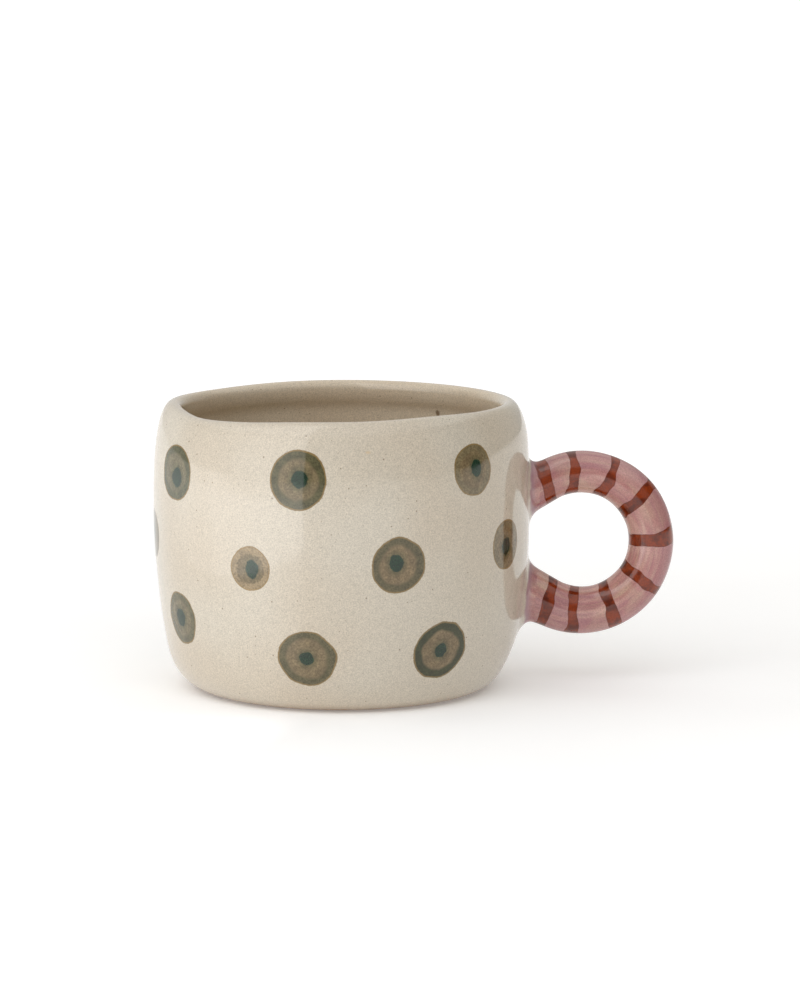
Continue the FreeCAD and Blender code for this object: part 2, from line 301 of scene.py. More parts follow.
def store(mesh, name, domain, kind, values):
    """Stores numbers on a mesh, for its material to read by name."""
    attribute = mesh.attributes.new(name, kind, domain)
    field = "vector" if kind == "FLOAT_VECTOR" else "value"
    attribute.data.foreach_set(field, np.asarray(values, float).ravel())


class Spot:
    """A painted spot: where it is, how large, how dark and green its ring is, and its darker middle."""

    def __init__(self, azimuth, height, wide, tall, ring, green, middle, middle_size):
        self.azimuth = azimuth
        self.run = float(np.interp(height, OUTER[:, 1], OUTER_RUN))
        self.half = (wide / 2, tall / 2)
        self.ring = ring
        self.green = green
        self.middle = middle
        self.middle_half = (middle_size[0] / 2, middle_size[1] / 2)


# Azimuth and height of each spot, its width and height, how dark and how green its ring is from 0 to 1, and
# the place and the size of its middle. The first ten are the ones seen from the front.
SPOTS = (
    Spot(-150.2, 59.0, 14.4, 14.7, 0.80, 1.0, (0.9, -1.3), (4.8, 5.4)),
    Spot(-102.8, 60.0, 14.4, 15.0, 0.80, 0.4, (0.5, 0.2), (4.2, 4.6)),
    Spot(-46.7, 60.5, 12.8, 13.0, 0.45, 0.1, (1.0, 0.5), (3.4, 4.6)),
    Spot(-171.5, 40.6, 12.4, 12.2, 0.60, 0.6, (-0.5, 0.4), (4.0, 4.4)),
    Spot(-117.9, 37.3, 10.9, 11.5, 0.00, 0.3, (0.6, -0.1), (3.7, 4.8)),
    Spot(-72.8, 38.6, 13.8, 14.3, 0.75, 0.0, (-0.6, 0.6), (3.9, 4.5)),
    Spot(-30.6, 40.4, 12.9, 12.9, 0.40, 0.0, (-0.2, -0.5), (4.0, 4.5)),
    Spot(-149.6, 21.4, 13.5, 13.8, 0.70, 0.8, (-0.2, 0.1), (4.6, 4.8)),
    Spot(-100.7, 15.0, 15.1, 14.6, 0.75, 0.2, (0.0, 0.0), (3.7, 3.8)),
    Spot(-57.3, 16.0, 15.6, 15.0, 1.00, 0.1, (0.0, -0.1), (3.6, 3.9)),
    Spot(42, 59.5, 13.6, 14.2, 0.70, 0.4, (-0.5, 0.3), (4.2, 4.4)),
    Spot(89, 60.5, 14.6, 14.0, 0.85, 0.6, (0.4, 0.6), (4.0, 4.8)),
    Spot(133, 59.5, 12.6, 13.2, 0.40, 0.2, (0.2, -0.7), (3.6, 4.2)),
    Spot(172, 60.5, 13.8, 14.6, 0.75, 0.7, (-0.7, 0.0), (4.4, 4.6)),
    Spot(29, 38.5, 13.0, 13.6, 0.55, 0.1, (0.5, 0.4), (3.8, 4.4)),
    Spot(72, 40.0, 14.0, 13.4, 0.90, 0.3, (-0.3, -0.4), (4.2, 4.0)),
    Spot(115, 37.5, 11.4, 12.0, 0.10, 0.3, (0.4, 0.2), (3.6, 4.4)),
    Spot(150, 39.5, 13.8, 14.4, 0.80, 0.8, (0.0, -0.6), (4.6, 4.4)),
    Spot(48, 16.0, 14.6, 14.0, 0.85, 0.2, (-0.4, 0.3), (3.8, 4.2)),
    Spot(92, 15.5, 13.4, 14.0, 0.60, 0.4, (0.3, 0.5), (4.0, 3.8)),
    Spot(133, 16.5, 15.0, 14.4, 0.80, 0.5, (0.5, -0.3), (4.2, 4.4)),
    Spot(171, 15.5, 13.6, 13.2, 0.70, 0.7, (-0.2, 0.2), (4.0, 4.2)),
)

# Stored instead of a place in a spot where there is none: far more than a half width away.
FAR_OFF = 9.0


def corners_of(mesh):
    """The vertex and the face of each corner of a mesh, and the first vertex of each face."""
    vertex = np.zeros(len(mesh.loops), int)
    mesh.loops.foreach_get("vertex_index", vertex)
    total = np.zeros(len(mesh.polygons), int)
    start = np.zeros(len(mesh.polygons), int)
    mesh.polygons.foreach_get("loop_total", total)
    mesh.polygons.foreach_get("loop_start", start)
    return vertex, np.repeat(np.arange(len(total)), total), vertex[start]


def paint_spots(mesh, azimuth, radius, run):
    """Stores on each face's corners where they lie in the nearest spot and in its middle, in half widths."""
    vertex, face, first = corners_of(mesh)
    arc_mm = np.radians(1) * radius
    apart = []
    for s in SPOTS:
        across = turned(azimuth[first], s.azimuth) * arc_mm[first]
        apart.append(np.hypot(across / s.half[0], (run[first] - s.run) / s.half[1]))
    chosen = np.argmin(apart, axis=0)[face]
    columns = [
        (s.azimuth, s.run, *s.half, s.ring, *s.middle, *s.middle_half, s.green)
        for s in SPOTS
    ]
    turn, level, half_wide, half_tall, ring, aside, above, middle_wide, middle_tall, green = (
        np.array(column)[chosen] for column in zip(*columns)
    )
    across = turned(azimuth[vertex], turn) * arc_mm[vertex]
    up = run[vertex] - level
    outside = run[first][face] >= 0
    spot = [across / half_wide, up / half_tall, ring]
    middle = [(across - aside) / middle_wide, (up - above) / middle_tall, green]
    for name, values in (("spot", spot), ("middle", middle)):
        values = np.where(outside, np.array(values), FAR_OFF).T
        store(mesh, name, "CORNER", "FLOAT_VECTOR", values)


def make_cup(material):
    """The cup: its section swept round, moved as the hand left it, and closed by a fan under and inside."""
    azimuth = np.arange(COLUMNS) * 360 / COLUMNS
    rows = len(SECTION)
    grid_azimuth = np.tile(azimuth, rows)
    radius = np.repeat(SECTION[:, 0], COLUMNS)
    height = np.repeat(SECTION[:, 1], COLUMNS)
    points = list(clay(grid_azimuth, radius, height))
    faces = ring_faces(rows, COLUMNS)
    for row, level in ((0, RECESS), (rows - 1, FLOOR_HEIGHT)):
        points.append((0, 0, level))
        faces += fan(len(points) - 1, range(row * COLUMNS, (row + 1) * COLUMNS), row > 0)
    cup = make_piece("cup", points, faces, "cup_body", material)
    hubs = np.zeros(2)
    paint_spots(
        cup.data,
        np.concatenate([grid_azimuth, hubs]),
        np.concatenate([radius, hubs]),
        np.concatenate([np.repeat(OUTSIDE_RUN, COLUMNS), hubs - 1]),
    )


def roll_frame(length):
    """Centre, outward direction and the way on, at a length along the roll from its upper bend."""
    turn = BEND - min(max(length, 0), RING_LENGTH) / RING_RADIUS
    outward = Vector((math.cos(turn), 0, math.sin(turn)))
    onward = Vector((math.sin(turn), 0, -math.cos(turn)))
    beyond = min(length, 0) + max(length - RING_LENGTH, 0)
    return Vector((RING_X, 0, RING_Z)) + outward * RING_RADIUS + onward * beyond, outward, onward


def roll_radius(length, around):
    """The roll is thinner at the top than at the bottom, and swells towards the wall."""
    beyond = max(-length, length - RING_LENGTH, 0)
    turn = math.degrees(BEND) - math.degrees(min(max(length, 0), RING_LENGTH) / RING_RADIUS)
    across = WAVES_AROUND * math.cos(around), WAVES_AROUND * math.sin(around)
    uneven = ROLL_WAVE * noise.noise(Vector((WAVES_ALONG * length, *across)))
    return ROLL - ROLL_THINNING * turn + END_SWELL * beyond + uneven


def roll_point(length, around):
    """A point of the roll's skin; around is 0 on the outside of the ring and a quarter turn at the front."""
    centre, outward, _ = roll_frame(length)
    out = outward * math.cos(around) - Vector((0, 1, 0)) * math.sin(around)
    return centre + out * roll_radius(length, around)


def end_length(end, beyond):
    """The length along the roll at a distance past its upper (-1) or lower (1) bend."""
    return -beyond if end < 0 else RING_LENGTH + beyond


def to_wall(end, around):
    """How far past its bend the roll's skin meets the cup's wall."""
    near, far = 0.0, LONGEST_END
    for _ in range(HALVINGS):
        middle = (near + far) / 2
        point = roll_point(end_length(end, middle), around)
        azimuth = math.degrees(math.atan2(point.y, point.x))
        if math.hypot(point.x, point.y) > wall_radius(azimuth, point.z):
            near = middle
        else:
            far = middle
    return near


# Painted stripes: angle round the ring in degrees on the outside, the front and the inside of the roll,
# and width in millimetres at the same three places.
STRIPES = (
    ((117, 120, 123), (2.9, 3.0, 3.2)),
    ((96.9, 97.2, 102.6), (2.6, 2.3, 3.5)),
    ((69, 67.7, 71), (2.0, 2.7, 3.4)),
    ((40.7, 38.5, 37), (3.3, 3.2, 3.1)),
    ((5.4, 3.4, 3.6), (4.2, 3.3, 3.1)),
    ((-31.7, -31.8, -28.5), (2.6, 2.8, 3.0)),
    ((-67.8, -66.2, -63), (3.8, 3.5, 2.4)),
    ((-96.2, -97, -98.2), (3.6, 2.4, 3.2)),
    ((-117, -119, -123), (2.4, 3.4, 2.5)),
)


def through(values, side):
    """The parabola through three values at side 1 (outside), 0 (front or back) and -1 (inside)."""
    outer, middle, inner = values
    return middle + (outer - inner) / 2 * side + ((outer + inner) / 2 - middle) * side * side


def paint_stripes(mesh, length, around):
    """Stores on each face's corners the way to the nearest stripe's middle, its half width and number."""
    vertex, face, first = corners_of(mesh)
    angle = np.degrees(BEND) - np.degrees(length / RING_RADIUS)
    side = np.cos(around)
    apart = [np.abs(angle[first] - through(angles, side[first])) for angles, _ in STRIPES]
    chosen = np.argmin(apart, axis=0)[face]
    angles = np.array([a for a, _ in STRIPES])[chosen].T
    widths = np.array([w for _, w in STRIPES])[chosen].T
    inside_bends = (length[vertex] > 0) & (length[vertex] < RING_LENGTH)
    reach = RING_RADIUS + np.where(inside_bends, ROLL * side[vertex], 0)
    off = np.radians(angle[vertex] - through(angles, side[vertex])) * reach
    values = np.column_stack([off, through(widths, side[vertex]) / 2, chosen])
    store(mesh, "stripe", "CORNER", "FLOAT_VECTOR", values)


def store_roll(mesh, length, around, distance, gap):
    """Stores the place along and across the roll, and the distance from the crease at the wall."""
    place = np.column_stack([length, distance * np.cos(around), distance * np.sin(around)])
    store(mesh, "roll", "POINT", "FLOAT_VECTOR", place)
    store(mesh, "gap", "POINT", "FLOAT", gap)
    paint_stripes(mesh, length, around)


def handle_rows():
    """Rings of points along the roll, from its end at the upper joint to its end at the lower one. Each row
    holds a length along the roll and a distance from the wall for every place around it."""
    upper, lower = (np.array([to_wall(end, around) for around in TURNS]) for end in (-1, 1))
    rows = []
    for step in range(END_STEPS, 0, -1):
        share = step / END_STEPS
        rows.append((-upper * share - BED * (step == END_STEPS), upper * (1 - share)))
    for step in range(RING_STEPS + 1):
        share = step / RING_STEPS
        gap = upper + (lower - upper) * share + GAP_BULGE * share * (1 - share)
        rows.append((np.full(AROUND, RING_LENGTH * share), gap))
    for step in range(1, END_STEPS + 1):
        share = step / END_STEPS
        rows.append((RING_LENGTH + lower * share + BED * (step == END_STEPS), lower * (1 - share)))
    return rows


def make_handle(material):
    """The handle: a roll bent into a ring, its two ends running on to the wall."""
    rows = handle_rows()
    length = np.concatenate([lengths for lengths, _ in rows])
    gap = np.concatenate([gaps for _, gaps in rows])
    around = np.tile(TURNS, len(rows))
    points = [roll_point(s, a) for s, a in zip(length, around)]
    faces = ring_faces(len(rows), AROUND)
    for row in (0, len(rows) - 1):
        ring = range(row * AROUND, (row + 1) * AROUND)
        points.append(sum((points[i] for i in ring), Vector()) / AROUND)
        faces += fan(len(points) - 1, ring, row > 0)
    handle = make_piece("handle_roll", points, faces, "handle", material)
    hubs = np.zeros(2)
    store_roll(
        handle.data,
        np.concatenate([length, (length[0], length[-1])]),
        np.concatenate([around, hubs]),
        np.concatenate([np.full(len(length), ROLL), hubs]),
        np.concatenate([gap, hubs]),
    )


def bezier(start, leave, arrive, finish, share):
    """A point of the smooth curve from start to finish that leaves and arrives towards the middle two."""
    rest = 1 - share
    begin = start * rest**3 + leave * 3 * rest * rest * share
    return begin + arrive * 3 * rest * share * share + finish * share**3


def seam_line(end, around, legs):
    """One line of a slip seam, smooth from the roll's skin to the wall, and the place it is built round: the
    crease between roll and wall, the roll's axis, the way out of the wall and the lengths that it covers."""
    share = (1 + math.cos(around)) / 2
    on_roll, on_wall = (inner + (outer - inner) * share for inner, outer in legs)
    reach = to_wall(end, around)
    crease = roll_point(end_length(end, reach), around)
    axis, _, _ = roll_frame(end_length(end, reach))
    away = crease - axis
    level = Vector((crease.x, crease.y, 0)).normalized()
    away = (away - level * away.dot(level)).normalized()

    def on_the_roll(distance):
        """The place on the roll's skin at a distance from the crease."""
        return roll_point(end_length(end, reach - distance), around)

    def on_the_wall(distance):
        """The place on the cup's wall at a distance from the crease."""
        spot = crease + away * distance
        return wall_point(math.degrees(math.atan2(spot.y, spot.x)), spot.z, SEAM_SINK)

    def leaving(surface, distance):
        """A place on a surface, and a place before it along the surface's own slope."""
        point = surface(distance)
        inwards = (surface(distance - TANGENT_STEP) - point).normalized()
        return point, point + inwards * distance * SEAM_FULLNESS

    start, leave = leaving(on_the_roll, on_roll)
    finish, arrive = leaving(on_the_wall, on_wall)
    line = [bezier(start, leave, arrive, finish, k / SEAM_STEPS) for k in range(SEAM_STEPS + 1)]
    return line, (crease, axis, level, reach, on_roll, on_wall)


def make_seam(name, end, legs, node, material):
    """A collar of slip round one end of the roll: a fillet outside, a bed against the roll and the wall."""
    points, lengths, turns, gaps, distances = [], [], [], [], []
    for around in TURNS:
        line, (crease, axis, level, reach, on_roll, on_wall) = seam_line(end, around, legs)
        inward = (axis - crease).normalized()
        corner = crease - level * BED + inward * BED
        bed = [line[-1] - level * BED, corner, line[0] + inward * BED]
        for k, point in enumerate(line + bed):
            share = min(k / SEAM_STEPS, 1)
            points.append(point)
            lengths.append(end_length(end, reach - on_roll * (1 - share)))
            gaps.append(on_roll - (on_roll + on_wall) * share)
            distances.append((point - axis).length)
            turns.append(around)
    columns = len(line + bed)
    faces = []
    for row in range(AROUND):
        here, there = row * columns, (row + 1) % AROUND * columns
        for k in range(columns):
            after = (k + 1) % columns
            quad = (here + k, there + k, there + after, here + after)
            faces.append(quad[::-1] if end < 0 else quad)
    seam = make_piece(name, points, faces, node, material)
    store_roll(seam.data, np.array(lengths), np.array(turns), np.array(distances), np.array(gaps))


# Where noise mostly lies: nearly all of it, and most of it.
NEARLY_ALL = (0.25, 0.75)
MOST = (0.30, 0.70)
FLAT = (1, 1, 0)
GLAZE_IOR = 1.58


class Nodes:
    """A node tree, built from short calls. Sockets are linked, and plain values are set on them."""

    def __init__(self, tree):
        self.tree = tree

    def give(self, socket, value):
        """Links a socket to another one or sets its value. None leaves it as it is."""
        if isinstance(value, bpy.types.NodeSocket):
            self.tree.links.new(value, socket)
        elif value is not None:
            socket.default_value = (*value, 1) if socket.type == "RGBA" else value

    def named(self, kind, **inputs):
        """Adds a node with its inputs filled by name."""
        node = self.tree.nodes.new("ShaderNode" + kind)
        for name, value in inputs.items():
            self.give(node.inputs[name], value)
        return node

    def node(self, kind, *values, output=0, **settings):
        """Adds a node with its inputs filled in order, and returns one of its outputs."""
        node = self.tree.nodes.new("ShaderNode" + kind)
        for name, value in settings.items():
            setattr(node, name, value)
        for socket, value in zip((s for s in node.inputs if s.enabled), values):
            self.give(socket, value)
        return node.outputs[output]

    def split(self, vector):
        """The three parts of a vector or a colour."""
        return self.named("SeparateXYZ", Vector=vector).outputs

    def total(self, first, *others):
        """The sum of some numbers."""
        for other in others:
            first = self.node("Math", first, other, operation="ADD")
        return first

    def times(self, first, second):
        """The product of two numbers."""
        return self.node("Math", first, second, operation="MULTIPLY")

    def vector(self, operation, first, second=None):
        """A sum, product and so on of two vectors."""
        return self.node("VectorMath", first, second, operation=operation)

    def length(self, vector):
        """How long a vector is."""
        return self.node("VectorMath", vector, operation="LENGTH", output="Value")

    def ease(self, value, low, high, to_low=0.0, to_high=1.0):
        """Turns smoothly from to_low to to_high as the value goes from low to high."""
        return self.node("MapRange", value, low, high, to_low, to_high, interpolation_type="SMOOTHSTEP")

    def straight(self, value, low, high, to_low=0.0, to_high=1.0):
        """Turns evenly from to_low to to_high as the value goes from low to high."""
        return self.node("MapRange", value, low, high, to_low, to_high)

    def mix(self, share, first, second):
        """A number between two others."""
        return self.node("Mix", share, first, second)

    def blend(self, share, first, second, mode="MIX"):
        """A colour between two others."""
        node = self.tree.nodes.new("ShaderNodeMix")
        node.data_type = "RGBA"
        node.blend_type = mode
        for name, value in (("Factor_Float", share), ("A_Color", first), ("B_Color", second)):
            self.give(next(s for s in node.inputs if s.identifier == name), value)
        return next(s for s in node.outputs if s.identifier == "Result_Color")

    def shade(self, colour, tone):
        """A colour made darker or lighter by a number."""
        return self.blend(1.0, colour, self.node("CombineXYZ", tone, tone, tone), "MULTIPLY")

    def place(self):
        """The place on the object, in millimetres."""
        spot = self.node("TexCoord", output="Object")
        scaled = self.tree.nodes.new("ShaderNodeVectorMath")
        scaled.operation = "SCALE"
        self.give(scaled.inputs[0], spot)
        scaled.inputs["Scale"].default_value = 1 / MM
        return scaled.outputs[0]

    def grain(self, place, size, detail, roughness=0.5):
        """Noise from 0 to 1 with features about size millimetres across."""
        noisy = self.named("TexNoise", Vector=place, Scale=1 / size, Detail=detail, Roughness=roughness)
        return noisy.outputs["Fac"]

    def wander(self, place, size, detail, amount, roughness=0.5):
        """A push of up to amount either way, different from place to place."""
        return self.straight(self.grain(place, size, detail, roughness), *NEARLY_ALL, -amount, amount)

    def vary(self, place, size, detail, low, high, spread=NEARLY_ALL, roughness=0.5):
        """A number between low and high, different from place to place."""
        return self.ease(self.grain(place, size, detail, roughness), *spread, low, high)


class Paint(Nodes):
    """The node material of a glaze or a table."""

    def __init__(self, name):
        self.material = bpy.data.materials.new(name)
        self.material.use_nodes = True
        super().__init__(self.material.node_tree)
        self.shader = self.tree.nodes["Principled BSDF"]

    def stored(self, name):
        """The vector stored on the mesh under a name, and its three parts."""
        vector = self.node("Attribute", attribute_name=name, output="Vector")
        return vector, *self.split(vector)

    def bumps(self, *layers):
        """Bump from layers of (height, depth in millimetres)."""
        normal = None
        for height, depth in layers:
            normal = self.named("Bump", Distance=depth * MM, Height=height, Normal=normal).outputs[0]
        self.give(self.shader.inputs["Normal"], normal)

    def finish(self, colour, roughness):
        """The material with its colour and roughness."""
        self.shader.inputs["IOR"].default_value = GLAZE_IOR
        self.give(self.shader.inputs["Base Color"], colour)
        self.give(self.shader.inputs["Roughness"], roughness)
        return self.material


# Colours of the cup.
WARM_CREAM = (0.60, 0.52, 0.41)
COOL_CREAM = (0.62, 0.56, 0.46)
INSIDE_TINT = (1.05, 1.01, 0.955)
SPECK_BROWN = (0.16, 0.10, 0.05)
OCHRE = (0.62, 0.43, 0.21)
BARE_CLAY = (0.42, 0.29, 0.18)
TOASTED = (0.30, 0.18, 0.085)

# Colours of the painted spots, from the outside in.
SPOT_RIM = (0.30, 0.19, 0.07)
SPOT_PALE = (0.30, 0.22, 0.12)
SPOT_DARK = (0.044, 0.045, 0.015)
SPOT_GREEN = (0.043, 0.060, 0.026)
SPOT_INNER = (0.200, 0.142, 0.072)
SPOT_INNER_GREEN = (0.160, 0.135, 0.074)
SPOT_HALO = (0.060, 0.066, 0.026)
SPOT_MIDDLE = (0.009, 0.032, 0.014)

# Colours of the handle.
PINK = (0.455, 0.198, 0.186)
PALE_PINK = (0.60, 0.35, 0.30)
MAUVE = (0.36, 0.155, 0.180)
BEIGE = (0.58, 0.41, 0.29)
LAVENDER = (0.38, 0.235, 0.265)
STRIPE_RED = (0.25, 0.034, 0.004)
STRIPE_DARK = (0.11, 0.013, 0.002)

# Iron specks: how far apart they lie in millimetres, their size as a share of that, and their strength.
SPECKS = ((2.1, 0.13, 0.75), (1.1, 0.19, 0.45), (0.7, 0.25, 0.22))
SPECK_CORE = 0.4
UNSEEN_SPECKS = 0.4

# Single marks in the glaze: azimuth, height, radius, width and height, colour.
MARKS = (
    (53, 66, WIDEST_RADIUS - WALL - 1, (1.4, 2.2), SPECK_BROWN),
    (-81.9, 66.7, 46.1, (2.2, 1.3), OCHRE),
)
MARK_EDGE = (0.5, 1.2, 0.8, 0.0)

# Each edge below is the two places where a layer starts and stops changing, and its share at each of them.
# Edge, rim line and ring of a spot are measured in half widths of the spot, middle and halo in half widths
# of the middle. The halo is weaker in spots with a pale ring.
SPOT_EDGE = (0.985, 1.015, 1.0, 0.0)
RIM_LINE = (0.93, 0.965, 0.0, 1.0)
RIM_LINE_SHARE = 0.7
RING_START = (0.64, 0.76, 0.0, 1.0)
MIDDLE_EDGE = (0.86, 1.06, 1.0, 0.0)
HALO = (0.95, 1.8, 0.5, 0.0)
HALO_BY_RING = (0, 0.6, 0.4, 1.0)

# Heights where the glaze thins out over the foot, turns toasted and ends, and where the recess is bare.
THIN_GLAZE = (0.5, 3.0, 0.45, 0.0)
TOASTED_LINE = (0.5, 0.95, 0.85, 0.0)
GLAZE_END = (0.25, 0.5, 1.0, 0.0)
RECESS_WALL = (FOOT_INSIDE + 0.6, FOOT_INSIDE + 1.4, 1.0, 0.0)
RECESS_ROOF = (2.2, 2.6, 1.0, 0.0)
BARE_ROUGHNESS = 0.65

# Streaks in the pink: how finely they lie along and across the roll, and the part of the noise each one is.
BROAD_STREAKS = (0.05, 0.30, 0.30)
NARROW_STREAKS = (0.06, 0.9, 0.9)
PALE_PART = (0.36, 0.64)
MAUVE_PART = (0.50, 0.68)
HAIR_PART = (0.56, 0.72)
THIN_PART = (0.52, 0.70)
CLOUD_PART = (0.50, 0.68)
OUTER_MAUVE = (RING_RADIUS - 1, RING_RADIUS + ROLL, 0.0, 0.5)

# Edges of a stripe and of the darker line inside it, in millimetres beyond its half width; where the colour
# pools; and how far the noise moves on from one stripe to the next.
STRIPE_EDGE = (-0.10, 0.10, 1.0, 0.0)
STRIPE_LINE = (-0.45, -0.1, 0.0, 0.5)
POOL_PART = (0.42, 0.66)
NEXT_STRIPE = 37.0

# How far the mauve and the cream run over the handle's ends, measured from the crease at the wall.
MAUVE_END = (-0.5, 2.6, 0.8, 0.0)
CREAM_END = (-1.6, 0.0, 1.0, 0.0)


def speckled(paint, place, colour):
    """Iron specks in the clay that show through the glaze, most of them faint."""
    for apart, size, boldest in SPECKS:
        cells = paint.named("TexVoronoi", Vector=place, Scale=1 / apart)
        close = paint.ease(cells.outputs["Distance"], size * SPECK_CORE, size, 1.0, 0.0)
        chance = paint.split(cells.outputs["Color"])[0]
        strength = paint.times(close, paint.ease(chance, UNSEEN_SPECKS, 1.0, 0.0, boldest))
        colour = paint.blend(strength, colour, SPECK_BROWN)
    return colour


def cream_ground(paint, place):
    """Cream glaze over speckled clay: broad warm and cool drifts, a fine grain and iron specks."""
    drift = paint.vary(place, size=30, detail=1, low=0.0, high=1.0, spread=MOST)
    ground = paint.blend(drift, WARM_CREAM, COOL_CREAM)
    mottle = paint.vary(place, size=1.1, detail=2, low=0.975, high=1.02, spread=MOST)
    fine = paint.vary(place, size=0.30, detail=1, low=0.85, high=1.13)
    return speckled(paint, place, paint.shade(ground, paint.times(mottle, fine)))


def marked(paint, place, colour):
    """The single marks in the glaze, each a soft oval."""
    for azimuth, height, radius, (wide, tall), tint in MARKS:
        turn = math.radians(azimuth)
        centre = (radius * math.cos(turn), radius * math.sin(turn), height)
        off = paint.vector("SUBTRACT", place, centre)
        reach = paint.length(paint.vector("DIVIDE", off, (wide / 2, wide / 2, tall / 2)))
        colour = paint.blend(paint.ease(reach, *MARK_EDGE), colour, tint)
    return colour


def spotted(paint, place, ground):
    """Painted spots: a thin rim line, a dark ring, a paler inside and a dark middle that bleeds out."""
    spot, _, _, ring = paint.stored("spot")
    middle, _, _, green = paint.stored("middle")
    wobble = paint.wander(place, size=6.5, detail=1, amount=0.045)
    ragged = paint.wander(place, size=0.7, detail=2, amount=0.010)
    reach = paint.total(paint.length(paint.vector("MULTIPLY", spot, FLAT)), wobble, ragged)
    brushed = paint.wander(place, size=3.5, detail=1, amount=0.05)
    grainy = paint.wander(place, size=0.5, detail=3, amount=0.05, roughness=0.7)
    in_ring = paint.ease(paint.total(reach, brushed, grainy), *RING_START)
    ring_tone = paint.blend(ring, SPOT_PALE, paint.blend(green, SPOT_DARK, SPOT_GREEN))
    body = paint.blend(in_ring, paint.blend(green, SPOT_INNER, SPOT_INNER_GREEN), ring_tone)
    ragged_core = paint.wander(place, size=1.8, detail=2, amount=0.14)
    core = paint.total(paint.length(paint.vector("MULTIPLY", middle, FLAT)), ragged_core)
    halo = paint.times(paint.ease(core, *HALO), paint.ease(ring, *HALO_BY_RING))
    body = paint.blend(halo, body, SPOT_HALO)
    body = paint.blend(paint.ease(core, *MIDDLE_EDGE), body, SPOT_MIDDLE)
    grit = paint.vary(place, size=0.5, detail=3, low=0.62, high=1.38, roughness=0.75)
    pooled = paint.vary(place, size=2.2, detail=2, low=0.86, high=1.14, spread=MOST)
    body = paint.shade(body, paint.times(grit, pooled))
    body = paint.blend(paint.times(paint.ease(reach, *RIM_LINE), RIM_LINE_SHARE), body, SPOT_RIM)
    painted = paint.ease(reach, *SPOT_EDGE)
    return paint.blend(painted, ground, body), painted


def footed(paint, place, colour):
    """The glaze thins over the foot and ends there; the clay it stands on and the recess are bare."""
    ragged = paint.wander(place, size=3, detail=3, amount=0.22)
    height = paint.total(paint.split(place)[2], ragged)
    colour = paint.blend(paint.ease(height, *THIN_GLAZE), colour, BARE_CLAY)
    colour = paint.blend(paint.ease(height, *TOASTED_LINE), colour, TOASTED)
    wide = paint.length(paint.vector("MULTIPLY", place, FLAT))
    recess = paint.times(paint.ease(wide, *RECESS_WALL), paint.ease(height, *RECESS_ROOF))
    low = paint.ease(height, *GLAZE_END)
    bare = paint.node("Math", low, recess, operation="MAXIMUM")
    gritty = paint.vary(place, size=0.6, detail=4, low=0.72, high=1.2, roughness=0.7)
    return paint.blend(bare, colour, paint.shade(BARE_CLAY, gritty)), bare


def cream_glaze():
    """The cup: glossy cream glaze with painted spots, and bare toasted clay where it stands."""
    paint = Paint("cream_glaze")
    place = paint.place()
    colour = marked(paint, place, cream_ground(paint, place))
    inside = paint.ease(paint.stored("spot")[3], 1.0, FAR_OFF)
    colour = paint.blend(inside, colour, paint.blend(1.0, colour, INSIDE_TINT, "MULTIPLY"))
    colour, painted = spotted(paint, place, colour)
    colour, bare = footed(paint, place, colour)
    glazed = paint.node("Math", 1.0, bare, operation="SUBTRACT")
    shine = paint.vary(place, size=7, detail=3, low=0.05, high=0.10, spread=MOST)
    ripple = paint.times(paint.grain(place, size=6, detail=2), glazed)
    peel = paint.times(paint.grain(place, size=1.6, detail=2), glazed)
    grit = paint.times(paint.grain(place, size=0.35, detail=3), bare)
    paint.bumps((ripple, 0.05), (peel, 0.006), (painted, 0.02), (grit, 0.12))
    return paint.finish(colour, paint.total(shine, paint.times(bare, BARE_ROUGHNESS)))


def streaked_pink(paint, roll, place):
    """Pink glaze brushed along the roll, thin enough here and there for clay to show, mauve outside."""
    broad = paint.vector("MULTIPLY", roll, BROAD_STREAKS)
    narrow = paint.vector("MULTIPLY", roll, NARROW_STREAKS)
    broad_apart = paint.vector("ADD", broad, (7, 3, 1))
    narrow_apart = paint.vector("ADD", narrow, (2, 5, 9))
    pale = paint.ease(paint.grain(broad, size=1, detail=2, roughness=0.6), *PALE_PART)
    mauve = paint.ease(paint.grain(broad_apart, size=1, detail=2, roughness=0.6), *MAUVE_PART)
    hair = paint.ease(paint.grain(narrow, size=1, detail=2), *HAIR_PART)
    thin = paint.ease(paint.grain(narrow_apart, size=1, detail=2), *THIN_PART)
    cloud = paint.ease(paint.grain(place, size=8, detail=2), *CLOUD_PART)
    colour = paint.blend(pale, PINK, PALE_PINK)
    for amount, strength, tint in (
        (mauve, 0.7, MAUVE),
        (thin, 0.35, BEIGE),
        (cloud, 0.45, BEIGE),
        (hair, 0.45, MAUVE),
    ):
        colour = paint.blend(paint.times(amount, strength), colour, tint)
    from_hub = paint.vector("MULTIPLY", paint.vector("SUBTRACT", place, (RING_X, 0, RING_Z)), (1, 0, 1))
    colour = paint.blend(paint.ease(paint.length(from_hub), *OUTER_MAUVE), colour, MAUVE)
    return paint.shade(colour, paint.vary(place, size=0.32, detail=2, low=0.85, high=1.15))


